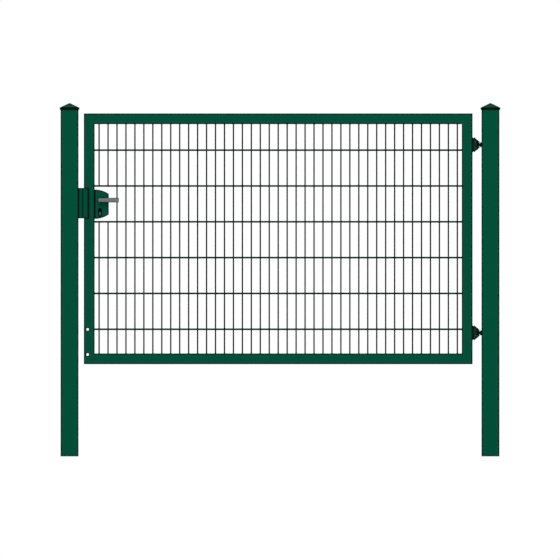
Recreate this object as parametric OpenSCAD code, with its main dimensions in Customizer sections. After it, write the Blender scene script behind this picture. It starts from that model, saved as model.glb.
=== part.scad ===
// Single-leaf tubular frame gate with a welded double-wire panel, hung between two square posts.
// Origin: centre of the hinge post's foot. +X runs from the lock post to the hinge post,
// -Y is the front and +Z is up. Millimetres.

/* [Posts] */
// Clear opening between the two posts
clear_opening = 2250; // [1500:10:2800]
// Side of the square post
post_size = 100; // [80:1:130]
// Wall of the post tube
post_wall = 3; // [2:0.5:4]
// Outer corner radius of the post tube
post_corner = 5; // [4:0.5:8]
// How far a post stands above the leaf, to the underside of its cap
post_above_leaf = 20; // [0:5:200]

/* [Post caps] */
// How far the cap's rim stands out past the post on each side
cap_overhang = 5; // [2:0.5:10]
// Height of the cap's rim
cap_rim_h = 13; // [6:1:25]
// Rise of the cap's roof above its rim
cap_rise = 25; // [10:1:50]
// Depth of the cap's plug inside the post
cap_plug_h = 25; // [10:1:60]
// Wall of the cap's plug
cap_wall = 3; // [2:0.5:4]

/* [Leaf frame] */
// Height of the leaf
leaf_h = 1400; // [1150:5:1800]
// Height of the leaf's lower edge above the foot of the posts
leaf_z = 515; // [60:5:700]
// Gap between the leaf and the hinge post
hinge_gap = 50; // [44:1:60]
// Gap between the leaf and the lock post
lock_gap = 30; // [28:1:45]
// Face width of the frame tube
tube_w = 60; // [48:1:80]
// Depth of the frame tube
tube_d = 40; // [36:1:48]
// Wall of the frame tube
tube_wall = 2; // [1.5:0.5:3]
// Outer corner radius of the frame tube
tube_corner = 3; // [2.5:0.5:5]

/* [Drop bolt holes] */
// Diameter of the two holes through the lock stile
bolt_hole_d = 15; // [8:1:20]
// Distance of the holes from the lock stile's outer edge
bolt_hole_in = 21; // [16:1:24]
// Height of the lower hole above the leaf's lower edge
bolt_hole_up = 54; // [30:1:90]
// Distance between the two holes
bolt_hole_pitch = 140; // [100:1:180]

/* [Wire panel] */
// Diameter of the upright wires
upright_d = 8; // [4:0.5:9]
// Diameter of the paired cross wires
cross_d = 10; // [5:0.5:12]
// Distance between upright wires
upright_pitch = 50; // [40:1:100]
// Distance between pairs of cross wires
cross_pitch = 200; // [180:1:260]
// Height of the lowest pair above the bottom rail
first_cross = 135; // [60:1:190]
// How deep a cross wire is welded into the uprights
weld_depth = 0.4; // [0.1:0.1:1]

/* [Lock] */
// Height of the lock case
lock_h = 164; // [130:1:168]
// Reach of the lock case past the lock stile
lock_reach = 79; // [60:1:90]
// Thickness of the lock case
lock_t = 36; // [30:1:36]
// Radius of the lock case's arched top edge
lock_top_arch_r = 142; // [110:1:200]
// Radius of the lock case's arched bottom edge
lock_bottom_arch_r = 137; // [110:1:250]
// Radius of the lock case's upper corner
lock_corner = 8; // [2:1:12]
// Distance of the lever and the cylinder from the lock stile
backset = 30; // [22:1:36]
// Height of the lever's axis above the middle of the lock case
lever_up = 23; // [10:1:27]
// Distance of the cylinder below the lever's axis
cylinder_down = 56; // [48:1:58]
// Bay of the wire panel that holds the lock, counted from the lowest
lock_bay = 4; // [2:1:4]
// Height of the bay's middle above the middle of the lock case
lock_drop = 2; // [0:1:6]
// Thickness of the lock's face plate
face_plate_t = 2.5; // [2:0.5:3]
// How far the drawn-back latch and dead bolt stand out of the face plate
bolt_proud = 1.5; // [1:0.5:2]

/* [Lever] */
// Length of the lever from its axis to its free end
lever_l = 105; // [80:1:130]
// Height of the lever
lever_w = 26; // [18:1:28]
// Thickness of the lever
lever_t = 12; // [8:1:16]
// Clear space between the lever and the lock case
lever_gap = 28; // [22:1:45]
// Diameter of the lever's neck
neck_d = 17; // [12:1:18]
// Width of the square spindle
spindle_w = 8; // [6:1:8]

/* [Keeper] */
// Height of the keeper
keeper_h = 170; // [140:1:200]
// Height of the keeper's middle above the lock's middle
keeper_up = 6; // [0:1:10]
// How far the keeper's stop flange overlaps the front of the leaf
keeper_overlap = 29; // [20:1:32]
// Gap between the keeper's box and the drawn-back latch
strike_clear = 5; // [5:0.5:8]
// Wall of the keeper
keeper_wall = 3; // [2:0.5:4]
// Thickness of the rubber between the stop flange and the leaf
buffer_t = 4; // [3:0.5:6]
// Width of the rubber strip on the flange's edge
buffer_w = 9; // [5:0.5:12]

/* [Hinges] */
// Distance of each hinge's middle from the leaf's top or bottom edge
hinge_in = 175; // [120:1:300]
// Half height of the hinge fork's base plate
fork_half_h = 41; // [40:1:50]
// Half height of the fork's body at the stile
fork_body_h = 38; // [34:1:40]
// Half depth of the fork, and radius of its nose
fork_nose_r = 16; // [15:0.5:18]
// Diameter of the eye bolt's shank
shank_d = 16; // [12:1:18]
// Outer diameter of the eye
eye_d = 28; // [24:1:30]
// Height of the eye
eye_h = 27.4; // [20:0.1:28]
// Diameter of the hinge pin
pin_d = 12; // [8:0.5:14]

/* [Fits] */
// Clearance above and below the eye in its fork
eye_clear = 0.3; // [0.2:0.1:1]
// Radial clearance of the pin in the eye
pin_clear = 0.06; // [0.02:0.01:0.1]
// Clearance between pieces that are put together and do not turn
seat_clear = 0.2; // [0.1:0.05:0.4]
// Gap between the closed leaf and the rubber
stop_clear = 0.3; // [0.2:0.1:1]

/* [Hidden] */

green = "#024f39";
dark_green = "#07281e";
black = "#141716";
zinc = "#8d9290";

eps = 1;                        // overrun of a cut past the piece that it cuts
fine = 48;                      // sides that stand for a true round
finest = 96;                    // the same, for a large round
min_corner = 0.5;               // inner corner radius of a tube, at the least

// Leaf and posts
leaf_w = clear_opening - hinge_gap - lock_gap;
leaf_top = leaf_z + leaf_h;
leaf_right = -post_size / 2 - hinge_gap;
leaf_left = leaf_right - leaf_w;
inner_left = leaf_left + tube_w;
inner_right = leaf_right - tube_w;
inner_bottom = leaf_z + tube_w;
inner_top = leaf_top - tube_w;
lock_face = leaf_left - lock_gap;   // side of the lock post that faces the leaf
hinge_face = -post_size / 2;        // side of the hinge post that faces the leaf
lock_post_x = lock_face - post_size / 2;
post_h = leaf_top + post_above_leaf;

// Wire panel, of six-sided bars with the section area of round wire
hex_flats = sqrt(PI / (2 * sqrt(3)));
inner_w = inner_right - inner_left;
upright_count = floor(inner_w / upright_pitch);
upright_margin = (inner_w - (upright_count - 1) * upright_pitch) / 2;
cross_count = floor((inner_top - inner_bottom - first_cross - cross_d) / cross_pitch) + 1;
cross_y = hex_flats * (upright_d + cross_d) / 2 - weld_depth;
first_of_middle = round(upright_count / 3);
first_of_hinge_side = round(upright_count * 2 / 3);

// Lock
lock_z = cross_z(lock_bay - 1) + cross_pitch / 2 - lock_drop;
lever_x = inner_left + backset;
lever_z = lock_z + lever_up;
cylinder_z = lever_z - cylinder_down;
core_t = 20;                    // the lock's core, inside the stile
core_h = 120;
face_plate_w = 24;
face_plate_h = 150;
latch_z = lock_z + 38;
latch_h = 18;
dead_bolt_z = lock_z - 34;
dead_bolt_h = 30;
bolt_t = 12;                    // latch and dead bolt, front to back
bolt_l = 40;                    // their length inside the stile
bolt_ways = [[latch_z, latch_h], [dead_bolt_z, dead_bolt_h]];
profile_r = 8.5;                // profile cylinder: its round part, tongue and height
profile_tongue = 10;
profile_h = 38;
cylinder_end = lock_t / 2 + 3;  // from the middle of the leaf
plug_r = 7.5;
plug_t = 2;
keyway_w = 1.6;
keyway_h = 8;
recess_w = 21;                  // recess in the case round the cylinder
recess_h = 47;
recess_above = 2;
recess_z = cylinder_z + profile_r + recess_above - recess_h / 2;
recess_depth = 1.5;

// Lever
neck_in = 8;                    // how far a neck runs into the case
neck_end = lock_t / 2 + lever_gap;
lever_end_flat = lever_l - lever_w / 4;

// Keeper
keeper_z = lock_z + keeper_up;
keeper_box = lock_gap - face_plate_t - bolt_proud - strike_clear;
keeper_reach = lock_gap + keeper_overlap;
keeper_back = tube_d / 2;
flange_y = -tube_d / 2 - stop_clear - buffer_t;
strike_room = 4;                // space round the latch and the dead bolt in the keeper
rubber_front_t = 2;
keeper_screw_d = 8;
keeper_screw_head_d = 14;
keeper_screw_head_t = 2;
keeper_screw_bite = 4;          // past the inside of the post's wall
keeper_screw_heights = [for (end = [-1, 1]) keeper_z + end * (keeper_h / 2 - 14)];

// Hinges
hinge_heights = [leaf_top - hinge_in, leaf_z + hinge_in];
pin_x = hinge_gap / 2;          // from the stile to the hinge's axis
hinge_x = leaf_right + pin_x;
fork_base_t = 4;
fork_base_edge = 1;             // how far the base plate shows round the fork
fork_rib = [9, 14];             // near and far side of the end ribs, from the stile
fork_tip = pin_x + fork_nose_r;
fork_lip = 1;                   // thickness of each ear at the tip
fork_rib_in = 2;                // how far the ribs stand back from the fork's sides
fork_rib_h = 10;
fork_slot = eye_h / 2 + eye_clear;
eye_round_clear = 0.5;          // round the eye, at the back of the slot
shank_clear = 2;                // beside the shank, when the leaf is wide open
pin_l = 54;
hinge_screw_r = 4;
hinge_screw_x = 13;             // from the stile
hinge_screw_up = 20;            // from the middle of the hinge
hinge_screw_head = -fork_nose_r - 1;
hinge_screw_seat = 4 - fork_nose_r;
hinge_screw_socket = 2 - fork_nose_r;
nut_flats = 24;
nut_clear = 1;                  // between the lock nut and the fork's nose
nut_t = pin_x - fork_nose_r - nut_clear;
inner_nut_t = 13;
shank_past_nut = 6;
shank_end = hinge_face + post_wall + inner_nut_t + shank_past_nut;

function cross_z(i) = inner_bottom + first_cross + i * cross_pitch;
function upright_x(i) = inner_left + upright_margin + i * upright_pitch;
function beside_lock(x) = x < inner_left + lock_reach + upright_d;

// ---- Outlines and solids that repeat

module rounded_rectangle(w, d, r) {
    square([w, d - 2 * r], center = true);
    square([w - 2 * r, d], center = true);
    for (x = [-1, 1], y = [-1, 1])
        translate([x * (w / 2 - r), y * (d / 2 - r)]) circle(r, $fn = fine);
}

module tube_outline(w, d, wall, r)
    difference() {
        rounded_rectangle(w, d, r);
        rounded_rectangle(w - 2 * wall, d - 2 * wall, max(r - wall, min_corner));
    }

// Rod along X, from x0 to x1
module rod_x(y, z, r, x0, x1, sides = fine)
    translate([x0, y, z]) rotate([0, 90, 0]) cylinder(h = x1 - x0, r = r, $fn = sides);

// Rod along Y, from y0 to y1
module rod_y(x, z, r, y0, y1, sides = fine)
    translate([x, y0, z]) rotate([-90, 0, 0]) cylinder(h = y1 - y0, r = r, $fn = sides);

// Outline set upright at the point (x, z), made solid from y0 to y1
module plate_y(x, z, y0, y1)
    translate([x, y1, z]) rotate([90, 0, 0]) linear_extrude(y1 - y0) children();

// ---- Posts

module post(x)
    translate([x, 0, 0]) linear_extrude(post_h)
        tube_outline(post_size, post_size, post_wall, post_corner);

module hinge_post() color(green)
    difference() {
        post(0);
        for (z = hinge_heights)
            rod_x(0, z, shank_d / 2 + seat_clear, -post_size, 0);
    }

module lock_post() color(green)
    difference() {
        post(lock_post_x);
        for (z = keeper_screw_heights)
            rod_x(0, z, keeper_screw_d / 2 + seat_clear, lock_post_x, lock_face + eps);
    }

module gable(side)
    translate([0, side / 2, cap_rim_h]) rotate([90, 0, 0]) linear_extrude(side)
        polygon([[-side / 2, 0], [side / 2, 0], [0, cap_rise]]);

// Roof of four slopes over a square rim, with a hollow plug that fits the tube
module cap(x) {
    side = post_size + 2 * cap_overhang;
    plug = post_size - 2 * post_wall - 2 * seat_clear;
    translate([x, 0, post_h]) {
        translate([0, 0, cap_rim_h / 2]) cube([side, side, cap_rim_h], center = true);
        intersection() {
            gable(side);
            rotate([0, 0, 90]) gable(side);
        }
        translate([0, 0, -cap_plug_h]) linear_extrude(cap_plug_h)
            tube_outline(plug, plug, cap_wall, max(post_corner - post_wall, min_corner));
    }
}

module hinge_post_cap() color(dark_green) cap(0);

module lock_post_cap() color(dark_green) cap(lock_post_x);

// ---- Leaf frame

// Upright tube between the mitred corners; the leaf lies to its right (side 1) or left (side -1)
module stile(x_outer, side) {
    x_inner = x_outer + side * tube_w;
    intersection() {
        translate([(x_outer + x_inner) / 2, 0, leaf_z]) linear_extrude(leaf_h)
            tube_outline(tube_w, tube_d, tube_wall, tube_corner);
        plate_y(0, 0, -tube_d, tube_d)
            polygon([[x_outer, leaf_z], [x_inner, inner_bottom],
                     [x_inner, inner_top], [x_outer, leaf_top]]);
    }
}

// Level tube between the mitred corners; the leaf lies above it (side 1) or below it (side -1)
module rail(z_outer, side) {
    z_inner = z_outer + side * tube_w;
    intersection() {
        translate([leaf_left, 0, (z_outer + z_inner) / 2]) rotate([90, 0, 90]) linear_extrude(leaf_w)
            tube_outline(tube_d, tube_w, tube_wall, tube_corner);
        plate_y(0, 0, -tube_d, tube_d)
            polygon([[leaf_left, z_outer], [inner_left, z_inner],
                     [inner_right, z_inner], [leaf_right, z_outer]]);
    }
}

module lock_stile() color(green)
    difference() {
        stile(leaf_left, 1);
        for (i = [0, 1])
            rod_y(leaf_left + bolt_hole_in, leaf_z + bolt_hole_up + i * bolt_hole_pitch,
                  bolt_hole_d / 2, -tube_d, tube_d);
        translate([leaf_left - eps, -core_t / 2 - seat_clear, lock_z - core_h / 2 - seat_clear])
            cube([tube_w + 2 * eps, core_t + 2 * seat_clear, core_h + 2 * seat_clear]);
    }

module hinge_stile() color(green) stile(leaf_right, -1);

module top_rail() color(green) rail(leaf_top, -1);

module bottom_rail() color(green) rail(leaf_z, 1);

// ---- Wire panel

// Six-sided wire along Z, with flats to front and back
module wire(d, l) cylinder(h = l, d = d * hex_flats / cos(30), $fn = 6);

module upright(x, z0, z1) translate([x, 0, z0]) wire(upright_d, z1 - z0);

// Part of the panel, from upright number first up to, but without, number end
module panel_part(first, end) {
    x0 = first == 0 ? inner_left : upright_x(first) - upright_pitch / 2;
    x1 = end == upright_count ? inner_right : upright_x(end) - upright_pitch / 2;
    for (i = [first : end - 1]) {
        x = upright_x(i);
        if (beside_lock(x)) {
            upright(x, inner_bottom, cross_z(lock_bay - 1));
            upright(x, cross_z(lock_bay), inner_top);
        } else {
            upright(x, inner_bottom, inner_top);
        }
    }
    for (i = [0 : cross_count - 1], side = [-1, 1])
        translate([x0, side * cross_y, cross_z(i)]) rotate([0, 90, 0]) wire(cross_d, x1 - x0);
}

module panel_lock_side() color(dark_green) panel_part(0, first_of_middle);

module panel_middle() color(dark_green) panel_part(first_of_middle, first_of_hinge_side);

module panel_hinge_side() color(dark_green) panel_part(first_of_hinge_side, upright_count);

// ---- Lock

// Straight at the stile, arched above and below, with its upper corner rounded
module lock_outline() {
    arch_z = lock_h / 2 - lock_top_arch_r;
    corner_x = lock_reach - lock_corner;
    centre_r = lock_top_arch_r - lock_corner;
    corner = [corner_x, arch_z + sqrt(centre_r * centre_r - corner_x * corner_x)];
    outwards = (corner - [0, arch_z]) / centre_r;
    past = 2 * lock_corner;
    difference() {
        intersection() {
            translate([0, -lock_h / 2]) square([lock_reach, lock_h]);
            translate([0, arch_z]) circle(lock_top_arch_r, $fn = finest);
            translate([0, lock_bottom_arch_r - lock_h / 2]) circle(lock_bottom_arch_r, $fn = finest);
        }
        polygon([corner, corner + [past, 0], corner + [past, past], corner + past * outwards]);
    }
    translate(corner) circle(lock_corner, $fn = fine);
}

module profile_outline(extra = 0) {
    circle(profile_r + extra, $fn = fine);
    translate([-profile_tongue / 2 - extra, profile_r - profile_h - extra])
        square([profile_tongue + 2 * extra, profile_h - profile_r + extra]);
}

// Space for the latch and the dead bolt, from x0 into the lock's core
module bolt_space(x0)
    for (way = bolt_ways)
        translate([x0, -bolt_t / 2 - seat_clear, way[0] - way[1] / 2 - seat_clear])
            cube([leaf_left + bolt_l + seat_clear - x0, bolt_t + 2 * seat_clear, way[1] + 2 * seat_clear]);

module lock_case() color(green)
    difference() {
        union() {
            plate_y(inner_left, lock_z, -lock_t / 2, lock_t / 2) lock_outline();
            translate([leaf_left, -core_t / 2, lock_z - core_h / 2]) cube([tube_w + eps, core_t, core_h]);
        }
        rod_y(lever_x, lever_z, neck_d / 2 + seat_clear, -lock_t, lock_t);
        plate_y(lever_x, cylinder_z, -lock_t, lock_t) profile_outline(seat_clear);
        for (y0 = [-lock_t / 2 - eps, lock_t / 2 - recess_depth])
            plate_y(lever_x, recess_z, y0, y0 + recess_depth + eps)
                square([recess_w, recess_h], center = true);
        bolt_space(leaf_left - eps);
    }

module lock_face_plate() color(zinc)
    difference() {
        translate([leaf_left - face_plate_t, -face_plate_w / 2, lock_z - face_plate_h / 2])
            cube([face_plate_t, face_plate_w, face_plate_h]);
        bolt_space(leaf_left - face_plate_t - eps);
    }

module sliding_bolt(z, h)
    translate([leaf_left - face_plate_t - bolt_proud, -bolt_t / 2, z - h / 2])
        cube([face_plate_t + bolt_proud + bolt_l, bolt_t, h]);

module latch() color(zinc) sliding_bolt(latch_z, latch_h);

module dead_bolt() color(zinc) sliding_bolt(dead_bolt_z, dead_bolt_h);

module lock_cylinder() color(zinc)
    difference() {
        plate_y(lever_x, cylinder_z, -cylinder_end, cylinder_end) profile_outline();
        rod_y(lever_x, cylinder_z, plug_r, -cylinder_end - eps, -cylinder_end + plug_t);
        rod_y(lever_x, cylinder_z, plug_r, cylinder_end - plug_t, cylinder_end + eps);
    }

// Round ends of the cylinder, each with its keyway
module cylinder_plugs() color(black)
    for (turn = [0, 180])
        translate([lever_x, 0, cylinder_z]) rotate([0, 0, turn])
            difference() {
                rod_y(0, 0, plug_r - pin_clear, -cylinder_end, -cylinder_end + plug_t);
                translate([-keyway_w / 2, -cylinder_end - eps, -keyway_h / 2])
                    cube([keyway_w, plug_t / 2 + eps, keyway_h]);
            }

// ---- Lever

module lever_spindle() color(zinc)
    translate([lever_x, 0, lever_z]) cube([spindle_w, 2 * neck_end, spindle_w], center = true);

// Neck from y0 to y1, with a square hole for the spindle
module lever_neck(y0, y1) {
    hole = spindle_w + 2 * seat_clear;
    difference() {
        rod_y(lever_x, lever_z, neck_d / 2, y0, y1);
        translate([lever_x, (y0 + y1) / 2, lever_z]) cube([hole, y1 - y0 + 2 * eps, hole], center = true);
    }
}

module front_lever_neck() color(zinc) lever_neck(-neck_end, neck_in - lock_t / 2);

module back_lever_neck() color(zinc) lever_neck(lock_t / 2 - neck_in, neck_end);

// Level grip from y0 to y1: round at the neck, slightly rounded at its free end
module lever(y0, y1)
    plate_y(lever_x, lever_z, y0, y1) {
        circle(lever_w / 2, $fn = fine);
        translate([0, -lever_w / 2]) square([lever_end_flat, lever_w]);
        translate([lever_end_flat, 0])
            intersection() {
                circle(lever_w / 2, $fn = fine);
                translate([-eps, -lever_w / 2]) square([lever_w / 4 + eps, lever_w]);
            }
    }

module front_lever() color(zinc) lever(-neck_end - lever_t, -neck_end);

module back_lever() color(zinc) lever(neck_end, neck_end + lever_t);

// ---- Keeper

// Seen from above: a box against the lock post, and a flange that the closed leaf rests on
module keeper_outline() {
    difference() {
        translate([0, flange_y - keeper_wall]) square([keeper_box, keeper_back - flange_y + keeper_wall]);
        translate([keeper_wall, flange_y])
            square([keeper_box - 2 * keeper_wall, keeper_back - flange_y - keeper_wall]);
    }
    translate([keeper_box - eps, flange_y - keeper_wall])
        square([keeper_reach - rubber_front_t - keeper_box + eps, keeper_wall]);
}

module keeper() color(green)
    difference() {
        translate([lock_face, 0, keeper_z - keeper_h / 2]) linear_extrude(keeper_h) keeper_outline();
        for (way = bolt_ways)
            translate([lock_face + keeper_box, 0, way[0]])
                cube([keeper_box, bolt_t + 2 * strike_room, way[1] + 2 * strike_room], center = true);
        for (z = keeper_screw_heights)
            rod_x(0, z, keeper_screw_d / 2 + seat_clear, lock_face - eps, lock_face + keeper_box + eps);
    }

// Rubber strip clipped over the flange's edge
module keeper_rubber() color(black)
    translate([lock_face + keeper_reach - buffer_w, 0, keeper_z - keeper_h / 2])
        linear_extrude(keeper_h)
            difference() {
                translate([0, flange_y - keeper_wall - rubber_front_t])
                    square([buffer_w, rubber_front_t + keeper_wall + buffer_t]);
                translate([-eps, flange_y - keeper_wall])
                    square([buffer_w - rubber_front_t + eps, keeper_wall]);
            }

module keeper_screws() color(zinc)
    for (z = keeper_screw_heights) {
        head_x = lock_face + keeper_box;
        rod_x(0, z, keeper_screw_d / 2, lock_face - post_wall - keeper_screw_bite, head_x);
        rod_x(0, z, keeper_screw_head_d / 2, head_x, head_x + keeper_screw_head_t);
    }

// ---- Hinges

// Outline of the fork from the side: upright at the stile, then narrowing towards its tip
module fork_side() {
    lip_h = fork_slot + fork_lip;
    polygon([
        [0, -fork_body_h], [fork_rib[1], -fork_body_h], [fork_tip, -lip_h],
        [fork_tip, lip_h], [fork_rib[1], fork_body_h], [0, fork_body_h]
    ]);
}

// Outline of the fork from above, with its round nose
module fork_top() {
    translate([0, -fork_nose_r]) square([pin_x, 2 * fork_nose_r]);
    translate([pin_x, 0]) circle(fork_nose_r, $fn = fine);
}

module fork_body() {
    base_w = 2 * (fork_nose_r + fork_base_edge);
    rib_w = 2 * (fork_nose_r - fork_rib_in);
    intersection() {
        plate_y(0, 0, -fork_nose_r, fork_nose_r) fork_side();
        translate([0, 0, -fork_half_h]) linear_extrude(2 * fork_half_h) fork_top();
    }
    translate([0, -base_w / 2, -fork_half_h]) cube([fork_base_t, base_w, 2 * fork_half_h]);
    for (z = [-fork_half_h, fork_half_h - fork_rib_h])
        translate([fork_rib[0], -rib_w / 2, z]) cube([fork_rib[1] - fork_rib[0], rib_w, fork_rib_h]);
}

// Room for the eye between the ears: round behind it, and open for the shank from the side to the back
module fork_slot_room() {
    shank_side = pin_x - shank_d / 2 - shank_clear;
    translate([pin_x, 0, -fork_slot])
        cylinder(h = 2 * fork_slot, d = eye_d + 2 * eye_round_clear, $fn = fine);
    translate([shank_side, -hinge_gap, -fork_slot]) cube([hinge_gap, 2 * hinge_gap, 2 * fork_slot]);
}

// Fork on the stile that takes the eye between its ears
module hinge_fork(z)
    translate([leaf_right, 0, z])
        difference() {
            fork_body();
            fork_slot_room();
            translate([pin_x, 0, -hinge_gap])
                cylinder(h = 2 * hinge_gap, d = pin_d + 2 * pin_clear, $fn = fine);
            for (end = [-1, 1])
                rod_y(hinge_screw_x, end * hinge_screw_up, hinge_screw_r, -hinge_gap, hinge_screw_seat);
        }

module upper_hinge_fork() color(black) hinge_fork(hinge_heights[0]);

module lower_hinge_fork() color(black) hinge_fork(hinge_heights[1]);

module hinge_pin(z) translate([hinge_x, 0, z - pin_l / 2]) cylinder(h = pin_l, d = pin_d, $fn = fine);

module upper_hinge_pin() color(zinc) hinge_pin(hinge_heights[0]);

module lower_hinge_pin() color(zinc) hinge_pin(hinge_heights[1]);

// Socket screws in the front of each fork
module hinge_screws() color(black)
    for (hinge_z = hinge_heights, end = [-1, 1]) {
        x = leaf_right + hinge_screw_x;
        z = hinge_z + end * hinge_screw_up;
        difference() {
            rod_y(x, z, hinge_screw_r - seat_clear, hinge_screw_head, hinge_screw_seat);
            rod_y(x, z, hinge_screw_r / 2, -hinge_gap, hinge_screw_socket, 6);
        }
    }

// Eye bolt that passes through the wall of the hinge post
module eye_bolt(z)
    difference() {
        union() {
            translate([hinge_x, 0, z - eye_h / 2]) cylinder(h = eye_h, d = eye_d, $fn = fine);
            rod_x(0, z, shank_d / 2, hinge_x + pin_d / 2, shank_end);
        }
        translate([hinge_x, 0, z - eye_h])
            cylinder(h = 2 * eye_h, d = pin_d + 2 * pin_clear, $fn = fine);
    }

module upper_eye_bolt() color(zinc) eye_bolt(hinge_heights[0]);

module lower_eye_bolt() color(zinc) eye_bolt(hinge_heights[1]);

// Lock nut outside the post and weld nut inside it
module eye_nuts(z)
    difference() {
        union() {
            rod_x(0, z, nut_flats / sqrt(3), hinge_face - nut_t, hinge_face, 6);
            rod_x(0, z, nut_flats / sqrt(3), hinge_face + post_wall, hinge_face + post_wall + inner_nut_t, 6);
        }
        rod_x(0, z, shank_d / 2 + pin_clear, -post_size, 0);
    }

module upper_eye_nuts() color(zinc) eye_nuts(hinge_heights[0]);

module lower_eye_nuts() color(zinc) eye_nuts(hinge_heights[1]);

hinge_post();
lock_post();
hinge_post_cap();
lock_post_cap();
keeper();
keeper_rubber();
keeper_screws();
upper_eye_bolt();
lower_eye_bolt();
upper_eye_nuts();
lower_eye_nuts();
lock_stile();
hinge_stile();
top_rail();
bottom_rail();
panel_lock_side();
panel_middle();
panel_hinge_side();
lock_case();
lock_face_plate();
latch();
dead_bolt();
lock_cylinder();
cylinder_plugs();
upper_hinge_fork();
lower_hinge_fork();
upper_hinge_pin();
lower_hinge_pin();
hinge_screws();
lever_spindle();
front_lever_neck();
back_lever_neck();
front_lever();
back_lever();
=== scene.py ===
import math
import bpy
import numpy as np
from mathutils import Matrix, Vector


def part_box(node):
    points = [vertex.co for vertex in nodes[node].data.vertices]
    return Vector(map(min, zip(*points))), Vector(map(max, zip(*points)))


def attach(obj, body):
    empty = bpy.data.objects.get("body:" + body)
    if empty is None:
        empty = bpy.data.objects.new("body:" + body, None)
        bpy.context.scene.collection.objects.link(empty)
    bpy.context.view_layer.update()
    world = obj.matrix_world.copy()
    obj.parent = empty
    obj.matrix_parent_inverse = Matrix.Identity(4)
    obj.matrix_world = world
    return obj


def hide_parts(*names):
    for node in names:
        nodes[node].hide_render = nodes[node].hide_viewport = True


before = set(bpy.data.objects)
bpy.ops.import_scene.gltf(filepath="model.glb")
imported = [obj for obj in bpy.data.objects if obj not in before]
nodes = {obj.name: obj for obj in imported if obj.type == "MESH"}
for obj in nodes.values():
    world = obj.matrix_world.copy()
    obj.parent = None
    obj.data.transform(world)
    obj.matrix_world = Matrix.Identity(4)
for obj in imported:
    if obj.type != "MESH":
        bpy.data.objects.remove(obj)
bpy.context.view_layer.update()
for leftover in ("Cube", "Light", "Camera"):
    if leftover in bpy.data.objects:
        bpy.data.objects.remove(bpy.data.objects[leftover])

# In the settings below, sizes are in metres and colours are display values from 0 to 255.

# Meshes from arrays

sharpAngle = 38  # degrees between faces, from which their shared edge is shaded sharp


def ends(node):
    # lowest and highest corner of a node, as arrays
    low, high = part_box(node)
    return np.array(low), np.array(high)


def pointsAt(x, y, z):
    # the points (x, y, z), where numbers and arrays of different shapes are stretched to fit
    return np.stack(np.broadcast_arrays(x, y, z), -1).astype(float)


def arcPoints(centre, radius, first, last, count):
    # centre + radius (cos a, sin a), with a from first to last in radians
    angle = np.linspace(first, last, count)
    return np.stack([centre[0] + radius * np.cos(angle), centre[1] + radius * np.sin(angle)], 1)


def fourCorners(perCorner):
    # angles of four quarter arcs, one after the other, and the signs of x and y at their centres
    quarter = np.linspace(0, np.pi / 2, perCorner)
    angle = (quarter[None] + np.arange(4)[:, None] * np.pi / 2).ravel()
    return angle, np.repeat([1, -1, -1, 1], perCorner), np.repeat([1, 1, -1, -1], perCorner)


def signedVolume(points, faces):
    # sum over the triangles of p0 . (p1 x p2) / 6, positive where they face outwards
    a, b, c = (points[faces[:, k]] for k in range(3))
    return float(np.einsum("ij,ij->i", a, np.cross(b, c)).sum() / 6)


def gridFaces(copies, along, around):
    # Quads join neighbouring rings, and a fan joins each end ring to its middle point.
    # Each copy holds along * around ring points, then the first and the last middle point.
    step = np.arange(around)
    following = np.roll(step, -1)
    ring = np.arange(along - 1)[:, None] * around
    above = ring + around
    quads = np.stack([ring + step, ring + following, above + following, above + step], -1)
    firstMiddle = np.full(around, along * around)
    last = (along - 1) * around
    fans = np.stack([np.stack([firstMiddle, following, step], -1),
                     np.stack([firstMiddle + 1, last + step, last + following], -1)])
    shift = np.arange(copies)[:, None, None] * (along * around + 2)
    return [(faces.reshape(1, -1, sides) + shift).reshape(-1, sides)
            for faces, sides in ((quads, 4), (fans, 3))]


def makePiece(name, rings, material, body, replaced=()):
    # rings is an array (copies, along, around, 3) of rings that follow each other along each copy.
    # The skin of quads and fans is turned round where its signed volume is below 0.
    rings = np.asarray(rings, float)
    if rings.ndim == 3:
        rings = rings[None]
    copies, along, around = rings.shape[:3]
    middles = rings[:, [0, -1]].mean(2)
    points = np.concatenate([rings.reshape(copies, -1, 3), middles], 1).reshape(-1, 3)
    quads, fans = gridFaces(copies, along, around)
    triangles = np.concatenate([quads[:, :3], quads[:, [0, 2, 3]], fans])
    if signedVolume(points, triangles) < 0:
        quads, fans = quads[:, ::-1], fans[:, ::-1]
    mesh = bpy.data.meshes.new(name)
    mesh.from_pydata(points.tolist(), [], quads.tolist() + fans.tolist())
    mesh.polygons.foreach_set("use_smooth", np.ones(len(mesh.polygons), bool))
    mesh.set_sharp_from_angle(angle=math.radians(sharpAngle))
    mesh.materials.append(material)
    piece = bpy.data.objects.new(name, mesh)
    bpy.context.scene.collection.objects.link(piece)
    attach(piece, body)
    if replaced:
        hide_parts(*replaced)
    return piece


def bars(starts, finish, across, over, radius, sides):
    # point(k, t, a) = start_k + t (finish_k - start_k) + radius (cos a across + sin a over),
    # with t = 0 and 1
    starts, finish = np.asarray(starts, float), np.asarray(finish, float)
    angle = np.linspace(0, 2 * np.pi, sides, endpoint=False)
    circle = radius * (np.cos(angle)[:, None] * np.array(across)
                       + np.sin(angle)[:, None] * np.array(over))
    spine = np.stack([starts, finish], 1)
    return spine[:, :, None, :] + circle[None, None]


# Materials


def newMaterial(name, colour, roughness, metallic=0.0, gloss=0.5):
    # one shader with its own plain numbers: nothing else reaches these sockets
    material = bpy.data.materials.new(name)
    material.use_nodes = True
    shader = material.node_tree.nodes["Principled BSDF"]
    shader.inputs["Base Color"].default_value = (*linear(colour), 1)
    shader.inputs["Roughness"].default_value = roughness
    shader.inputs["Metallic"].default_value = metallic
    shader.inputs["Specular IOR Level"].default_value = gloss
    return material, shader


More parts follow.
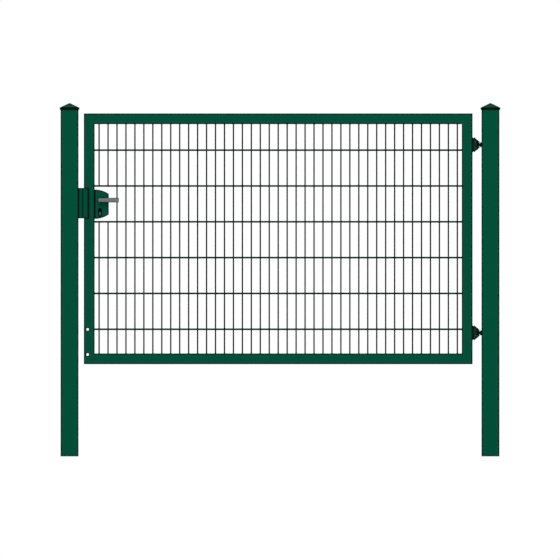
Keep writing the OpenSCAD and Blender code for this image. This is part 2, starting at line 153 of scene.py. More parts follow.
def linear(colour):
    # display values v of 0 to 255 to linear light, with w = v / 255:
    # w / 12.92 up to 0.04045, and above it ((w + 0.055) / 1.055) to the power 2.4
    value = np.array(colour, float) / 255
    return tuple(np.where(value <= 0.04045, value / 12.92, ((value + 0.055) / 1.055) ** 2.4).tolist())


def feed(tree, socket, value):
    # a socket is linked to this one, and a number is set on it
    if isinstance(value, bpy.types.NodeSocket):
        tree.links.new(value, socket)
    else:
        socket.default_value = value


def addNode(tree, kind, settings=None, **inputs):
    # new node with its settings, and its inputs by name with _ for each space
    node = tree.nodes.new(kind)
    for key, value in (settings or {}).items():
        setattr(node, key, value)
    for key, value in inputs.items():
        feed(tree, node.inputs[key.replace("_", " ")], value)
    return node


def sums(tree, operation, first, second=0.0, third=0.0):
    # one Math node, with numbers or sockets going in
    node = tree.nodes.new("ShaderNodeMath")
    node.operation = operation
    for socket, value in zip(node.inputs, (first, second, third)):
        feed(tree, socket, value)
    return node.outputs[0]


def least(tree, *values):
    # the smallest of two or more values
    out = values[0]
    for value in values[1:]:
        out = sums(tree, "MINIMUM", out, value)
    return out


def apart(tree, first, second):
    # |first - second|
    return sums(tree, "ABSOLUTE", sums(tree, "SUBTRACT", first, second))


def hypotenuse(tree, a, b):
    # square root of a a + b b
    squares = sums(tree, "ADD", sums(tree, "MULTIPLY", a, a), sums(tree, "MULTIPLY", b, b))
    return sums(tree, "SQRT", squares)


def objectPoint(tree):
    # x, y and z of the point that is shaded, in the frame that all pieces share
    split = addNode(tree, "ShaderNodeSeparateXYZ",
                    Vector=addNode(tree, "ShaderNodeTexCoord").outputs["Object"])
    return split.outputs["X"], split.outputs["Y"], split.outputs["Z"]


def inside(tree, value, low, high):
    # how far value is inside the range low to high: half the range - |value - its middle|
    return sums(tree, "SUBTRACT", (high - low) / 2, apart(tree, value, (low + high) / 2))


def fromCircle(tree, first, second, centre, radius):
    # distance from a circle's line, positive outside it
    a = sums(tree, "SUBTRACT", first, centre[0])
    b = sums(tree, "SUBTRACT", second, centre[1])
    return sums(tree, "SUBTRACT", hypotenuse(tree, a, b), radius)


def stripes(tree, value, stops):
    # colour that runs through the given (place, colour) stops as value grows
    low, high = stops[0][0], stops[-1][0]
    place = sums(tree, "DIVIDE", sums(tree, "SUBTRACT", value, low), high - low)
    node = addNode(tree, "ShaderNodeValToRGB", Fac=place)
    for spare in range(len(stops) - 2):
        node.color_ramp.elements.new(0.5)
    for element, (position, colour) in zip(node.color_ramp.elements, stops):
        element.position = (position - low) / (high - low)
        element.color = (*linear(colour), 1)
    return node.outputs["Color"]


coat = {
    "green": (1, 80, 57),
    "edge": (0, 27, 19),
    # edge colours the dark line painted as shade along each edge; rim is a lighter band painted as a
    # sheen just inside it
    "rim": (9, 79, 60),
    "edgeWidth": 0.0062,
    "sheenWidth": 0.0040,
    "fade": 0.012,
    "edgeEnds": 0.84,  # where the edge's own colour ends and the rim's starts,
    "sheenStarts": 1.1,  # as shares of the edge's width
    "roughness": 0.48,
    "gloss": 0.012,
    "peel": (520.0, 0.00006),  # scale and depth of the fine relief
}
surface = {
    "cloudScale": 2.2,
    "cloudDetail": 2.0,
    "cloudShade": (0.94, 1.06),  # darkest and lightest, as shares of the colour
    "peel": (220.0, 0.00004),
    "peelDetail": 1.0,
    "mottle": (0.35, 0.65),  # noise values at which the two colours are pure
    "mottleDetail": 3.0,
    "mottleDepth": 0.00003,
}


def painted(name, colourOf, roughness, metallic=0.0, gloss=0.5, peel=surface["peel"]):
    # Surface whose colour is colourOf(tree, x, y, z), made a little lighter and darker by a soft
    # cloud, with a fine uneven relief: peel is its scale and its depth.
    material, shader = newMaterial(name, (128, 128, 128), roughness, metallic, gloss)  # until linked
    tree = material.node_tree
    place = addNode(tree, "ShaderNodeTexCoord").outputs["Object"]
    cloud = addNode(tree, "ShaderNodeTexNoise", Vector=place, Scale=surface["cloudScale"],
                    Detail=surface["cloudDetail"])
    darkest, lightest = surface["cloudShade"]
    shade = addNode(tree, "ShaderNodeMapRange", Value=cloud.outputs["Fac"],
                    To_Min=darkest, To_Max=lightest)
    mix = addNode(tree, "ShaderNodeVectorMath", {"operation": "SCALE"}, Scale=shade.outputs["Result"])
    tree.links.new(colourOf(tree, *objectPoint(tree)), mix.inputs[0])
    tree.links.new(mix.outputs["Vector"], shader.inputs["Base Color"])
    peelScale, peelDepth = peel
    grain = addNode(tree, "ShaderNodeTexNoise", Vector=place, Scale=peelScale,
                    Detail=surface["peelDetail"])
    bump = addNode(tree, "ShaderNodeBump", Distance=peelDepth, Height=grain.outputs["Fac"])
    tree.links.new(bump.outputs["Normal"], shader.inputs["Normal"])
    return material


def shadedEdgeCoat(name, edgeDistance, main=coat["green"], edge=coat["edge"], rim=coat["rim"],
              gloss=coat["gloss"]):
    # Powder coat whose colour follows the distance to the nearest edge: a dark line painted as shade
    # along it, then a band in the rim colour painted as a sheen, then the plain coat.
    width, band = coat["edgeWidth"], coat["sheenWidth"]
    stops = [(0.0, edge), (width * coat["edgeEnds"], edge), (width * coat["sheenStarts"], rim),
             (width + band, rim), (width + band + coat["fade"], main)]
    return painted(name, lambda tree, *point: stripes(tree, edgeDistance(tree, *point), stops),
                   coat["roughness"], gloss=gloss, peel=coat["peel"])


def mottled(name, colours, scale, roughness, metallic=0.0, gloss=0.5, stretch=(1, 1, 1)):
    # two colours that mix along a noise, with the same noise as fine relief
    material, shader = newMaterial(name, colours[0], roughness, metallic, gloss)
    tree = material.node_tree
    spread = addNode(tree, "ShaderNodeMapping", Scale=stretch)
    tree.links.new(addNode(tree, "ShaderNodeTexCoord").outputs["Object"], spread.inputs["Vector"])
    noise = addNode(tree, "ShaderNodeTexNoise", Scale=scale, Detail=surface["mottleDetail"],
                    Vector=spread.outputs["Vector"])
    ramp = addNode(tree, "ShaderNodeValToRGB", Fac=noise.outputs["Fac"])
    for element, position, colour in zip(ramp.color_ramp.elements, surface["mottle"], colours):
        element.position = position
        element.color = (*linear(colour), 1)
    tree.links.new(ramp.outputs["Color"], shader.inputs["Base Color"])
    bump = addNode(tree, "ShaderNodeBump", Distance=surface["mottleDepth"], Height=noise.outputs["Fac"])
    tree.links.new(bump.outputs["Normal"], shader.inputs["Normal"])
    return material


def dress(material, *names):
    # a CAD node keeps its shape and takes the material in each of its slots
    for name in names:
        for place in nodes[name].material_slots:
            place.material = material


# Posts and leaf frame, which keep their CAD shape

lockStileLow, lockStileHigh = ends("lock_stile")

drillHoles = {
    "fromEdge": 0.021,
    "heights": (0.054, 0.194),  # above the leaf's foot
    "radius": 0.0075,
}


def tubeEdge(node, axis):
    # nearness to the four long edges of a square tube that runs along Z or X, where the dark line of
    # painted shade goes: the larger of the depths behind its two pairs of faces
    low, high = ends(node)
    side = {"z": 0, "x": 2}[axis]

    def distance(tree, *point):
        return sums(tree, "MAXIMUM", inside(tree, point[side], low[side], high[side]),
                    inside(tree, point[1], low[1], high[1]))
    return distance


def lockStileEdge(tree, x, y, z):
    # the stile's long edges, and the rims of its two drop bolt holes, which get the same dark line of
    # painted shade
    near = tubeEdge("lock_stile", "z")(tree, x, y, z)
    for height in drillHoles["heights"]:
        centre = (lockStileLow[0] + drillHoles["fromEdge"], lockStileLow[2] + height)
        near = least(tree, near, fromCircle(tree, x, z, centre, drillHoles["radius"]))
    return near


for node in ("hinge_post", "lock_post", "hinge_stile"):
    dress(shadedEdgeCoat(node + "_coat", tubeEdge(node, "z")), node)
for node in ("top_rail", "bottom_rail"):
    dress(shadedEdgeCoat(node + "_coat", tubeEdge(node, "x")), node)
dress(shadedEdgeCoat("lock_stile_coat", lockStileEdge), "lock_stile")
print("posts and leaf frame are coated")

# Wire panel

wirePanel = {
    "uprights": 41,
    "uprightPitch": 0.050,
    "uprightRadius": 0.004,
    "crossPairs": 6,
    "crossPitch": 0.200,
    "firstCross": 0.135,  # above the bottom rail
    "crossRadius": 0.005,
    "crossDepth": 0.0082,  # from an upright's middle to a cross wire's
    "sides": 16,
    "lockReach": 0.087,  # uprights that are nearer to the lock stile stop at the lock
    "lockBay": 3,  # the lock is between this pair of cross wires, counted from 0, and the next
    "weldLong": 0.0056,
    "weldDeep": 0.0030,
    "weldTip": 0.12,  # radians from a weld's pole to its first ring
    "weldGrid": (5, 8),  # rings, and points on each
    "beadWidth": 0.0024,
    "beadGrid": (5, 12),
    # the wires' own coat is the frame's green: these darker greens are painted shade, deeper on the
    # uprights than on the cross wires
    "uprightShadedGreens": ((0, 17, 13), (1, 25, 19)),
    "crossShadedGreens": ((0, 33, 24), (2, 43, 32)),
}
# wire coats darkened with painted shade
uprightShadedCoat = mottled("upright_shaded_coat", wirePanel["uprightShadedGreens"], scale=60.0, roughness=0.6, gloss=0.0)
crossShadedCoat = mottled("cross_shaded_coat", wirePanel["crossShadedGreens"], scale=60.0, roughness=0.6, gloss=0.0)

innerLeft, innerRight = lockStileHigh[0], ends("hinge_stile")[0][0]
innerBottom, innerTop = ends("bottom_rail")[1][2], ends("top_rail")[0][2]
fromMiddle = np.arange(wirePanel["uprights"]) - (wirePanel["uprights"] - 1) / 2
uprightX = (innerLeft + innerRight) / 2 + wirePanel["uprightPitch"] * fromMiddle
crossZ = (innerBottom + wirePanel["firstCross"]
          + wirePanel["crossPitch"] * np.arange(wirePanel["crossPairs"]))
pairDepth = np.tile([-wirePanel["crossDepth"], wirePanel["crossDepth"]], len(crossZ))
pairHeight = np.repeat(crossZ, 2)
atLock = uprightX < innerLeft + wirePanel["lockReach"]
lockBelow, lockAbove = crossZ[wirePanel["lockBay"]], crossZ[wirePanel["lockBay"] + 1]
panels = ("panel_lock_side", "panel_middle", "panel_hinge_side")


def uprightWires():
    # whole uprights first, then the two that stop below the lock and start again above it
    whole, cut = uprightX[~atLock], uprightX[atLock]
    x = np.concatenate([whole, cut, cut])
    low = np.concatenate([np.full(len(whole) + len(cut), innerBottom), np.full(len(cut), lockAbove)])
    high = np.concatenate([np.full(len(whole), innerTop), np.full(len(cut), lockBelow),
                           np.full(len(cut), innerTop)])
    return bars(pointsAt(x, 0, low), pointsAt(x, 0, high), (1, 0, 0), (0, 1, 0),
                wirePanel["uprightRadius"], wirePanel["sides"])


def crossWires():
    # from stile to stile, one wire in front of the uprights and one behind them at each height
    return bars(pointsAt(innerLeft, pairDepth, pairHeight), pointsAt(innerRight, pairDepth, pairHeight),
                (0, 1, 0), (0, 0, 1), wirePanel["crossRadius"], wirePanel["sides"])


def crossingWelds():
    # ellipsoids: centre + (a sin p cos q, b sin p sin q, a cos p), one at each crossing and side
    x, z, side = np.meshgrid(uprightX, crossZ, [-1.0, 1.0], indexing="ij")
    centres = pointsAt(x, side * wirePanel["uprightRadius"], z).reshape(-1, 3)
    along, around = wirePanel["weldGrid"]
    p = np.linspace(wirePanel["weldTip"], np.pi - wirePanel["weldTip"], along)[:, None]
    q = np.linspace(0, 2 * np.pi, around, endpoint=False)[None]
    a, b = wirePanel["weldLong"], wirePanel["weldDeep"]
    blob = np.stack([a * np.sin(p) * np.cos(q), b * np.sin(p) * np.sin(q), a * np.cos(p) + 0 * q], -1)
    return centres[:, None, None] + blob[None]


def endBeads(centres, axis, direction, radius):
    # fillet where a wire meets the frame: ring radius + w (1 - sin t) at height w (1 - cos t),
    # with t from 0 to 90 degrees
    width = wirePanel["beadWidth"]
    along, around = wirePanel["beadGrid"]
    t = np.linspace(0, np.pi / 2, along)[:, None]
    angle = np.linspace(0, 2 * np.pi, around, endpoint=False)[None]
    ring = radius + width * (1 - np.sin(t))
    rise = width * (1 - np.cos(t)) * direction + 0 * angle
    first, second = ring * np.cos(angle), ring * np.sin(angle)
    bead = np.stack([first, second, rise] if axis == "z" else [rise, first, second], -1)
    return centres[:, None, None] + bead[None]


makePiece("upright_wires", uprightWires(), uprightShadedCoat, "leaf", panels)
makePiece("cross_wires", crossWires(), crossShadedCoat, "leaf", panels)
makePiece("crossing_welds", crossingWelds(), crossShadedCoat, "leaf", panels)
for name, height, direction in (("rail_beads_below", innerBottom, 1),
                                ("rail_beads_above", innerTop, -1)):
    beads = endBeads(pointsAt(uprightX, 0, height), "z", direction, wirePanel["uprightRadius"])
    makePiece(name, beads, uprightShadedCoat, "leaf", panels)
for name, across, direction in (("stile_beads_left", innerLeft, 1),
                                ("stile_beads_right", innerRight, -1)):
    beads = endBeads(pointsAt(across, pairDepth, pairHeight), "x", direction, wirePanel["crossRadius"])
    makePiece(name, beads, crossShadedCoat, "leaf", panels)
print("wire panel is made")

# Post caps

postCap = {
    "rimHeight": 0.013,
    "plugGap": 0.0002,
    "postWall": 0.003,
    "edgeRound": 0.0012,
    "corner": 0.005,
    "tip": 0.0012,
    "perCorner": 7,
    "edgeSteps": 4,
    "roofSteps": 6,
    # roof is a darker green than the coat: painted shade that also offsets the stronger light from
    # above; rim colours the rim and the hips' lines with painted shade
    "roof": (18, 71, 55),
    "rim": (0, 20, 14),
    "line": 0.0042,
    "hipThin": 1.3,  # more makes the hips' dark lines thinner
    "gloss": 0.002,
}


def roundedSquares(centreX, half, corner, height, perCorner):
    # ring of four quarter arcs: x = centreX +- (half - corner) + corner cos a, y the same with sin a
    angle, signX, signY = fourCorners(perCorner)
    inner = (half - corner)[:, None]
    x = centreX + inner * signX + corner[:, None] * np.cos(angle)
    y = inner * signY + corner[:, None] * np.sin(angle)
    return pointsAt(x, y, height[:, None])


def capRings(capNode, postNode):
    # Half widths and heights from the plug's foot, round the rim's two edges with e sin t and
    # e cos t, and up the roof in a straight line to its tip.
    low, high = ends(capNode)
    postLow, postHigh = ends(postNode)
    centreX, rimHalf = (low[0] + high[0]) / 2, (high[0] - low[0]) / 2
    plugHalf = (postHigh[0] - postLow[0]) / 2 - postCap["postWall"] - postCap["plugGap"]
    under, rimTop, tip = postHigh[2], postHigh[2] + postCap["rimHeight"], high[2]
    turn = np.linspace(0, np.pi / 2, postCap["edgeSteps"])
    edge = postCap["edgeRound"]
    climb = np.linspace(0, 1, postCap["roofSteps"])
    roofHalf = (rimHalf - edge) * (1 - climb) + postCap["tip"] * climb
    half = np.concatenate([[plugHalf, plugHalf], rimHalf - edge + edge * np.sin(turn),
                           rimHalf - edge + edge * np.cos(turn)[:-1], roofHalf])
    height = np.concatenate([[low[2], under], under + edge - edge * np.cos(turn),
                             rimTop - edge + edge * np.sin(turn)[:-1], rimTop + (tip - rimTop) * climb])
    corner = postCap["corner"] * np.minimum(half / rimHalf, 1)
    return roundedSquares(centreX, half, corner, height, postCap["perCorner"])


def capEdge(capNode, postNode):
    # Height over a level just below the rim's top edge, so that the whole rim is dark with painted
    # shade, or the distance from the nearest of the roof's four hips, ||x| - |y||, times the roof's
    # slope, for dark lines of painted shade along the hips.
    low, high = ends(capNode)
    rimTop = ends(postNode)[1][2] + postCap["rimHeight"]
    slope = (high[2] - rimTop) / (high[0] - low[0]) * 2 * postCap["hipThin"]

    def distance(tree, x, y, z):
        sideways = apart(tree, x, (low[0] + high[0]) / 2)
        hip = apart(tree, sideways, sums(tree, "ABSOLUTE", y))
        rim = sums(tree, "ADD", sums(tree, "SUBTRACT", z, rimTop), postCap["line"])
        return least(tree, rim, sums(tree, "MULTIPLY", hip, slope))
    return distance


for side in ("hinge", "lock"):
    capNode, postNode = side + "_post_cap", side + "_post"
    makePiece(side + "_post_cap_cast", capRings(capNode, postNode),
              shadedEdgeCoat(capNode + "_coat", capEdge(capNode, postNode), postCap["roof"], postCap["rim"],
                        postCap["roof"], postCap["gloss"]), "posts", (capNode,))
print("post caps are made")

# Keeper with its rubber

keeper = {
    "fold": 0.0235,
    "foldThin": 0.0022,  # how much narrower the fold's line is on each side
    "frontPlate": 0.004,
    # line colours the dark line painted as shade at the keeper's edges and its fold
    "line": (1, 36, 26),
    "thin": 2.2,  # more makes the line at the post thinner
    "rubber": ((1, 14, 10), (4, 20, 15)),
    "rubberRound": 0.0014,
    "endTurn": 0.15,  # radians of the round end that its flat tip takes up
    "endSteps": 4,
    "perCorner": 5,
}
keeperLow, keeperHigh = ends("keeper")
rubberLow, rubberHigh = ends("keeper_rubber")


def keeperEdge(tree, x, y, z):
    # where a dark line is painted as shade: the cut edges above and below, and on the front plate only
    # the edge at the post and the fold between box and flange
    fromFront = sums(tree, "SUBTRACT", apart(tree, y, keeperLow[1]), keeper["frontPlate"])
    fold = sums(tree, "ADD", apart(tree, x, keeperLow[0] + keeper["fold"]), keeper["foldThin"])
    fromPost = sums(tree, "MULTIPLY", sums(tree, "SUBTRACT", x, keeperLow[0]), keeper["thin"])
    upright = least(tree, fold, fromPost)
    return least(tree, inside(tree, z, keeperLow[2], keeperHigh[2]),
                 sums(tree, "MAXIMUM", upright, fromFront))


def roundedBar(low, high, radius):
    # Upright bar: the ring of a rounded rectangle from low to high. At both ends it narrows by
    # r (1 - sin t) while the height turns by r (1 - cos t).
    angle, signX, signY = fourCorners(keeper["perCorner"])
    turn = np.linspace(keeper["endTurn"], np.pi / 2, keeper["endSteps"])
    grow = np.concatenate([radius * np.sin(turn), radius * np.sin(turn[::-1])])[:, None]
    rise = radius * (1 - np.cos(turn))
    height = np.concatenate([low[2] + rise, high[2] - rise[::-1]])
    middle, half = (low + high) / 2, (high - low) / 2 - radius
    x = middle[0] + half[0] * signX + grow * np.cos(angle)
    y = middle[1] + half[1] * signY + grow * np.sin(angle)
    return pointsAt(x, y, height[:, None])


dress(shadedEdgeCoat("keeper_coat", keeperEdge, edge=keeper["line"], rim=coat["green"]), "keeper")
rubber = mottled("keeper_rubber_black", keeper["rubber"], scale=300.0, roughness=0.8, gloss=0.03)
makePiece("keeper_rubber_strip", roundedBar(rubberLow, rubberHigh, keeper["rubberRound"]), rubber,
          "posts", ("keeper_rubber",))
print("keeper is finished")

# Lock

lockCase = {
    "topArch": 0.142,
    "bottomArch": 0.137,
    "corner": 0.008,
    "edgeRound": 0.0022,
    "backset": 0.030,  # from the lock stile to the lever's axis
    "leverUp": 0.023,  # from the case's middle
    "cylinderDown": 0.056,  # from the lever's axis
    "recessRadius": 0.0105,
    "recessLong": 0.026,  # between the centres of its two round ends
    "recessDepth": 0.0015,
    "recessShadeInset": 0.002,  # how far inside the recess its dark line starts
    "recessThin": 1.8,  # more makes that line thinner
    "recessSteps": 17,
    "cutPast": 0.002,  # how far the cutter stands out of the face
    # line colours the case's edges and the recess rim with painted shade
    "line": (0, 30, 21),
    "thick": 0.036,
    "archSteps": 16,
    "cornerSteps": 7,
    "edgeSteps": 5,
}
caseLow, caseHigh = ends("lock_case")
caseMiddle = (caseLow[2] + caseHigh[2]) / 2
caseHalf = (caseHigh[2] - caseLow[2]) / 2
caseReach = caseHigh[0] - innerLeft
caseDeep = lockCase["thick"] / 2
leverX = innerLeft + lockCase["backset"]
leverZ = caseMiddle + lockCase["leverUp"]
cylinderZ = leverZ - lockCase["cylinderDown"]


def caseOutline():
    # Bottom arch, upright side, rounded corner, top arch and back down along the stile. The
    # corner's circle touches the side and the top arch: its centre is top - corner from the arch's.
    top, bottom, corner = lockCase["topArch"], lockCase["bottomArch"], lockCase["corner"]
    steps = lockCase["archSteps"]
    cornerX = caseReach - corner
    cornerV = caseHalf - top + math.sqrt((top - corner) ** 2 - cornerX ** 2)
    lean = math.acos(cornerX / (top - corner))
    below = math.asin(caseReach / bottom)
    return np.concatenate([
        arcPoints((0, bottom - caseHalf), bottom, -np.pi / 2, below - np.pi / 2, steps),
        arcPoints((cornerX, cornerV), corner, 0, lean, lockCase["cornerSteps"]),
        arcPoints((0, caseHalf - top), top, lean, np.pi / 2, steps)[1:],
    ])


def plateRings(outline, centre, half, front, back, roundness, x0, z0):
    # Outline shrunk towards its centre by roundness (1 - cos t) while y runs round the edge:
    # scale = 1 - inset / half for each direction, so that the flat face ends at the same inset.
    turn = np.linspace(np.pi / 2, 0, lockCase["edgeSteps"])
    inset = roundness * (1 - np.cos(turn))
    rise = roundness * (1 - np.sin(turn))
    inset = np.concatenate([inset, inset[::-1]])
    depth = np.concatenate([front + rise, back - rise[::-1]])
    scale = 1 - inset[:, None, None] / np.array(half)
    flat = np.array(centre) + (outline[None] - np.array(centre)) * scale
    return pointsAt(x0 + flat[..., 0], depth[:, None], z0 + flat[..., 1])


def carve(piece, rings):
    # cuts the closed shape of the rings out of the piece
    cutter = makePiece("cutter", rings, piece.data.materials[0], "leaf")
    cut = piece.modifiers.new("cut", "BOOLEAN")
    cut.object, cut.operation, cut.solver = cutter, "DIFFERENCE", "MANIFOLD"
    bpy.context.view_layer.update()
    carved = bpy.data.meshes.new_from_object(piece.evaluated_get(bpy.context.evaluated_depsgraph_get()))
    piece.modifiers.clear()
    piece.data = carved
    bpy.data.objects.remove(cutter)
    carved.set_sharp_from_angle(angle=math.radians(sharpAngle))


def lockEdge(tree, x, y, z):
    # where a dark line is painted as shade: the outline of the case on its two faces, and inside the
    # recess round the cylinder
    top, bottom = lockCase["topArch"], lockCase["bottomArch"]
    outside = [fromCircle(tree, x, z, (innerLeft, caseMiddle + caseHalf - top), top),
               fromCircle(tree, x, z, (innerLeft, caseMiddle - caseHalf + bottom), bottom)]
    withinArches = [sums(tree, "MULTIPLY", distance, -1.0) for distance in outside]
    outline = least(tree, *withinArches, inside(tree, x, innerLeft, innerLeft + caseReach))
    face = sums(tree, "SUBTRACT", caseDeep, sums(tree, "ABSOLUTE", y))
    lowest = cylinderZ - lockCase["recessLong"]
    nearest = sums(tree, "MINIMUM", sums(tree, "MAXIMUM", z, lowest), cylinderZ)
    across = sums(tree, "SUBTRACT", x, leverX)
    along = sums(tree, "SUBTRACT", z, nearest)
    recess = sums(tree, "SUBTRACT", hypotenuse(tree, across, along),
                  lockCase["recessRadius"] - lockCase["recessShadeInset"])
    recess = sums(tree, "MULTIPLY", recess, lockCase["recessThin"])
    return least(tree, sums(tree, "MAXIMUM", outline, face), recess)


caseCoat = shadedEdgeCoat("lock_case_coat", lockEdge, edge=lockCase["line"])
caseShell = makePiece(
    "lock_case_shell",
    plateRings(caseOutline(), (caseReach / 2, 0), (caseReach / 2, caseHalf), -caseDeep, caseDeep,
               lockCase["edgeRound"], innerLeft, caseMiddle),
    caseCoat, "leaf", ("lock_case",))
recessRadius, recessSteps = lockCase["recessRadius"], lockCase["recessSteps"]
recessOutline = np.concatenate([
    arcPoints((0, 0), recessRadius, 0, np.pi, recessSteps),
    arcPoints((0, -lockCase["recessLong"]), recessRadius, np.pi, 2 * np.pi, recessSteps)])
for side in (-1, 1):
    depth = np.sort([side * (caseDeep + lockCase["cutPast"]),
                     side * (caseDeep - lockCase["recessDepth"])])
    carve(caseShell, pointsAt(leverX + recessOutline[None, :, 0], depth[:, None],
                              cylinderZ + recessOutline[None, :, 1]))

lockMetals = {
    "black": ((0, 3, 2), (2, 7, 5)),
    "nickel": (64, 86, 80),
    "change": 0.0106,  # how far the black reaches below the round end's centre
    "changeOver": 0.0002,
    "zinc": ((150, 156, 154), (168, 173, 171)),
    "stainless": ((140, 146, 146), (156, 161, 160)),
    "brushed": (1, 1, 30),  # how much finer the noise is along each axis
}
blackMetal = mottled("plug_black", lockMetals["black"], scale=200.0, roughness=0.5, gloss=0.01)


def cylinderColour(tree, x, y, z):
    # nickel below the round end; black above, painted as the shade of the recess round the black plug
    split = cylinderZ - lockMetals["change"]
    return stripes(tree, z, [(split - lockMetals["changeOver"], lockMetals["nickel"]),
                             (split, lockMetals["black"][0])])


dress(painted("cylinder_metal", cylinderColour, roughness=0.45, gloss=0.02), "lock_cylinder")
dress(blackMetal, "cylinder_plugs")
zinc = mottled("zinc_plate", lockMetals["zinc"], scale=90.0, roughness=0.4, metallic=0.6)
dress(zinc, "lock_face_plate", "keeper_screws")
stainless = mottled("stainless_bolt", lockMetals["stainless"], scale=30.0, roughness=0.3,
                    metallic=0.8, stretch=lockMetals["brushed"])
dress(stainless, "latch", "dead_bolt")
print("lock is made")

# Levers, each one casting with its neck

lever = {
    "neckHalf": 0.0085,
    "neckFillet": 0.002,
    "backInset": 0.0018,
    "squareness": 3.6,  # 2 gives an ellipse across, more gives a squarer grip
    "backFractions": (1, 0.65, 0.35, 0.12, 0),  # of the back inset
    "frontFractions": (0.01, 0.03, 0.06, 0.11, 0.2, 0.34, 0.55, 0.78, 0.97),  # of half the grip's height
    "cornerRound": 0.003,
    "hubPoints": 25,
    "edgePoints": 14,
    "cornerPoints": 6,
    "filletSteps": 5,
    "grey": (109, 114, 112),
    "shadow": (6, 14, 11),
    "line": 0.0034,
    "lineEnds": 0.85,  # as shares of the line's width
    "greyStarts": 1.2,
    "peel": (90.0, 0.00002),
}
gripLow, gripHigh = ends("back_lever")
neckFoot = ends("back_lever_neck")[0][1]
gripHalf, gripLength = (gripHigh[2] - gripLow[2]) / 2, gripHigh[0] - leverX


def gripOutline():
    # half circle round the hub, the lower edge, a rounded corner, the end, and the same back above
    corner = lever["cornerRound"]
    hub = arcPoints((0, 0), gripHalf, np.pi / 2, 1.5 * np.pi, lever["hubPoints"])
    under = np.linspace(0, gripLength - corner, lever["edgePoints"])[1:-1]
    edge = np.stack([under, np.full(len(under), -gripHalf)], 1)
    turn = arcPoints((gripLength - corner, corner - gripHalf), corner, -np.pi / 2, 0,
                     lever["cornerPoints"])
    upper = np.array([1, -1])
    return np.concatenate([hub, edge, turn, turn[::-1] * upper, edge[::-1] * upper])


def leverRings(side):
    # Neck circles, a fillet that widens by f (1 - cos t), then the grip's outline. At inset d it is
    # shrunk by d, and lies b (1 - (1 - d / h)^n)^(1/n) behind or before the grip's middle plane.
    outline = gripOutline()
    angle = np.arctan2(outline[:, 1], outline[:, 0])
    middle, deep = (gripLow[1] + gripHigh[1]) / 2, (gripHigh[1] - gripLow[1]) / 2
    power = lever["squareness"]
    back = lever["backInset"] * np.array(lever["backFractions"])
    front = gripHalf * np.array(lever["frontFractions"])
    inset = np.concatenate([back, front])
    rise = deep * (1 - (1 - inset / gripHalf) ** power) ** (1 / power)
    depth = middle + rise * np.repeat([-1, 1], [len(back), len(front)])
    upward = 1 - inset[:, None] / gripHalf
    across = np.where(outline[:, 0] > 0, 1 - inset[:, None] / gripLength, upward)
    turn = np.linspace(0, np.pi / 2, lever["filletSteps"])
    neck, fillet = lever["neckHalf"], lever["neckFillet"]
    neckRadius = np.concatenate([[neck, neck], neck + fillet * (1 - np.cos(turn))])
    neckDepth = np.concatenate([[neckFoot, (neckFoot + depth[0]) / 2],
                                depth[0] - fillet * (1 - np.sin(turn))])
    x = np.concatenate([neckRadius[:, None] * np.cos(angle), outline[:, 0] * across])
    z = np.concatenate([neckRadius[:, None] * np.sin(angle), outline[:, 1] * upward])
    y = np.concatenate([neckDepth, depth])
    return pointsAt(leverX + x, side * y[:, None], leverZ + z)


def leverColour(tree, x, y, z):
    # grey, with a dark line round the hub, along both edges and at the free end
    behind = sums(tree, "MINIMUM", sums(tree, "SUBTRACT", x, leverX), 0.0)
    upright = sums(tree, "SUBTRACT", z, leverZ)
    fromSide = sums(tree, "SUBTRACT", gripHalf, hypotenuse(tree, behind, upright))
    near = least(tree, fromSide, sums(tree, "SUBTRACT", gripHigh[0], x))
    dark, grey, line = lever["shadow"], lever["grey"], lever["line"]
    return stripes(tree, near, [(0.0, dark), (line * lever["lineEnds"], dark),
                                (line * lever["greyStarts"], grey), (gripHalf, grey)])


leverMetal = painted("lever_aluminium", leverColour, roughness=0.5, metallic=0.25, gloss=0.2,
                     peel=lever["peel"])
for name, side in (("front_lever", -1), ("back_lever", 1)):
    makePiece(name + "_cast", leverRings(side), leverMetal, "lever",
              (name, name + "_neck"))
dress(zinc, "lever_spindle")
print("levers are made")

# Hinges, which keep their CAD shape

hinge = {  # each stop is a distance from the fork's inner end and the colour there
    # the stops paint light and shade across the round eye: a lighter painted highlight band where it
    # faces the light, darker on either side
    "stops": ((0.0, (1, 39, 26)), (0.006, (1, 31, 21)), (0.009, (13, 54, 42)), (0.019, (17, 57, 45)),
              (0.023, (8, 37, 29)), (0.028, (3, 25, 19)), (0.05, (3, 23, 18))),
    "end": (1, 17, 12),
    "endFrom": 0.024,  # heights from a hinge's middle between which its ends grow dark
    "endFull": 0.030,
    "peel": (220.0, 0.00006),
    "pins": ((2, 20, 15), (5, 26, 20)),
    "screws": ((22, 60, 48), (28, 66, 54)),
}
upperLow, upperHigh = ends("upper_hinge_fork")
lowerLow, lowerHigh = ends("lower_hinge_fork")
upperZ, lowerZ = (upperLow[2] + upperHigh[2]) / 2, (lowerLow[2] + lowerHigh[2]) / 2


def hingeColour(tree, x, y, z):
    # Bands that run up and down, painted light and shade of the round eye lit from one side, and darker
    # towards both ends of each fork. The height from a hinge's own middle is ||z - m| - h|, with m
    # midway between the hinges and h half their spacing.
    along = stripes(tree, sums(tree, "SUBTRACT", x, upperLow[0]), hinge["stops"])
    own = apart(tree, apart(tree, z, (upperZ + lowerZ) / 2), (upperZ - lowerZ) / 2)
    fade = sums(tree, "DIVIDE", sums(tree, "SUBTRACT", own, hinge["endFrom"]),
                hinge["endFull"] - hinge["endFrom"])
    fade = sums(tree, "MINIMUM", sums(tree, "MAXIMUM", fade, 0.0), 1.0)
    mix = addNode(tree, "ShaderNodeMix", {"data_type": "RGBA"}, Factor=fade)
    tree.links.new(along, mix.inputs[6])  # 6 and 7 take the two colours, and 2 gives the mixed one
    mix.inputs[7].default_value = (*linear(hinge["end"]), 1)
    return mix.outputs[2]


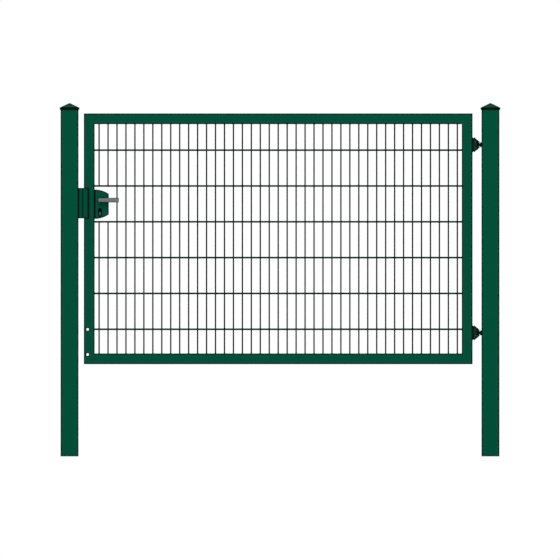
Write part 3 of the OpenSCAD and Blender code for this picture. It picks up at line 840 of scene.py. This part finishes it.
forgedSteel = painted("forged_steel", hingeColour, roughness=0.55, gloss=0.03, peel=hinge["peel"])
dress(forgedSteel, "upper_hinge_fork", "lower_hinge_fork", "upper_eye_bolt", "lower_eye_bolt")
blackSteel = mottled("black_steel", hinge["pins"], scale=120.0, roughness=0.5, gloss=0.03)
dress(blackSteel, "upper_eye_nuts", "lower_eye_nuts", "upper_hinge_pin", "lower_hinge_pin")
screwBlack = mottled("hinge_screw_black", hinge["screws"], scale=200.0, roughness=0.5, gloss=0.05)
dress(screwBlack, "hinge_screws")
print("hinges are finished")

# Camera, light and floor

stage = {
    "cameraX": -1.175,
    "cameraZ": 0.985,
    "width": 3.1265,
    "away": 6.0,
    "worldLight": 0.50,
    "sunSpread": 24.0,  # degrees
    "suns": {"front_sun": ((-0.25, -1.0, 0.75), 0.43),  # direction towards it, and its strength
             "back_sun": ((0.35, 1.0, 0.9), 0.30)},
    "floorHalf": 30,
    "floorGrey": (236, 236, 236),
    "floorRoughness": 0.9,
    "floorWhite": 0.20,
}
cameraData = bpy.data.cameras.new("camera")
cameraData.type = "ORTHO"
cameraData.ortho_scale = stage["width"]
camera = bpy.data.objects.new("camera", cameraData)
camera.location = (stage["cameraX"], -stage["away"], stage["cameraZ"])
camera.rotation_euler = (math.radians(90), 0, 0)
bpy.context.scene.collection.objects.link(camera)
bpy.context.scene.camera = camera
bpy.context.scene.view_settings.view_transform = "Standard"


def addSun(name, towards, strength):
    # wide soft sun; a strength of 1 shows a surface square to it in its own colour
    data = bpy.data.lights.new(name, "SUN")
    data.energy = strength * math.pi
    data.angle = math.radians(stage["sunSpread"])
    sun = bpy.data.objects.new(name, data)
    x, y, z = towards
    sun.rotation_euler = (math.atan2(math.hypot(x, y), z), 0, math.atan2(y, x) + math.pi / 2)
    bpy.context.scene.collection.objects.link(sun)


for name, (towards, strength) in stage["suns"].items():
    addSun(name, towards, strength)


def seenDirectly(tree):
    # 1 for what the camera sees, also in a reflection or through glass, and 0 for light on
    # surfaces: the largest of three rays' own 0 or 1
    rays = tree.nodes.new("ShaderNodeLightPath").outputs
    indirect = sums(tree, "MAXIMUM", rays["Is Glossy Ray"], rays["Is Transmission Ray"])
    return sums(tree, "MAXIMUM", rays["Is Camera Ray"], indirect)


world = bpy.data.worlds.new("studio")
bpy.context.scene.world = world
world.use_nodes = True
skyTree = world.node_tree
background = skyTree.nodes["Background"]
level = sums(skyTree, "ADD", sums(skyTree, "MULTIPLY", seenDirectly(skyTree), 1 - stage["worldLight"]),
             stage["worldLight"])
skyTree.links.new(level, background.inputs["Strength"])
background.inputs["Color"].default_value = (1, 1, 1, 1)

floorMaterial, floorShader = newMaterial("floor", stage["floorGrey"], stage["floorRoughness"],
                                         gloss=0.0)
floorTree = floorMaterial.node_tree
floorShader.inputs["Emission Color"].default_value = (1, 1, 1, 1)
floorTree.links.new(sums(floorTree, "MULTIPLY", seenDirectly(floorTree), stage["floorWhite"]),
                    floorShader.inputs["Emission Strength"])
floorMesh = bpy.data.meshes.new("floor")
half = stage["floorHalf"]
floorMesh.from_pydata([(-half, -half, 0), (half, -half, 0), (half, half, 0), (-half, half, 0)], [],
                      [(0, 1, 2, 3)])
floorMesh.materials.append(floorMaterial)
floor = bpy.data.objects.new("floor", floorMesh)
bpy.context.scene.collection.objects.link(floor)
print("camera, lamps and floor are set")
